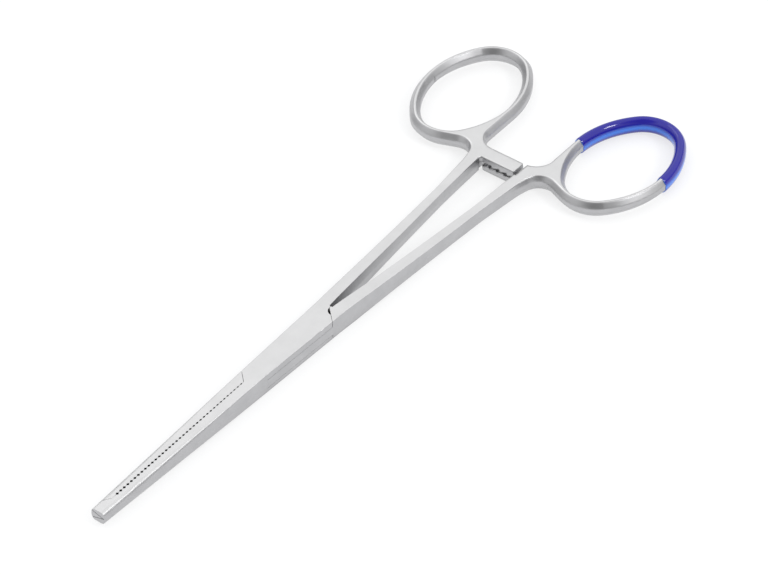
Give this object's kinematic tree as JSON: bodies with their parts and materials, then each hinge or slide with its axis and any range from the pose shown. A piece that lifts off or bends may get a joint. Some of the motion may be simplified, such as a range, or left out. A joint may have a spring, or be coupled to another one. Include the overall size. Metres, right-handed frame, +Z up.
{
  "type": "hemostat forceps",
  "caption": "Straight toothed locking artery forceps with a box lock, serrated jaws, ratchet arms and two finger rings, one of them half coated.",
  "frame": {"origin": "on the axis of the joint pin, at the lower face of the box lock, which is the face the forceps rest on", "axes": "+X to the jaw tips, +Z up, +Y to the side of the coated ring"},
  "size_m": [0.1606, 0.0621, 0.0047],
  "materials": {
    "satin_steel": "satin, fine grey blasted grain with brighter edges",
    "blue_coat": "thick glossy dipped coat, deep blue"
  },
  "bodies": {
    "box_side": {"box_half": "satin_steel", "joint_pin": "satin_steel"},
    "tongue_side": {"tongue_half": "satin_steel", "ring_coat": "blue_coat"}
  },
  "joints": [
    {"name": "box_joint", "type": "hinge", "parent": "box_side", "child": "tongue_side", "pos_m": [0, 0, 0.00235], "axis": [0, 0, -1], "range_deg": [0, 40]}
  ]
}
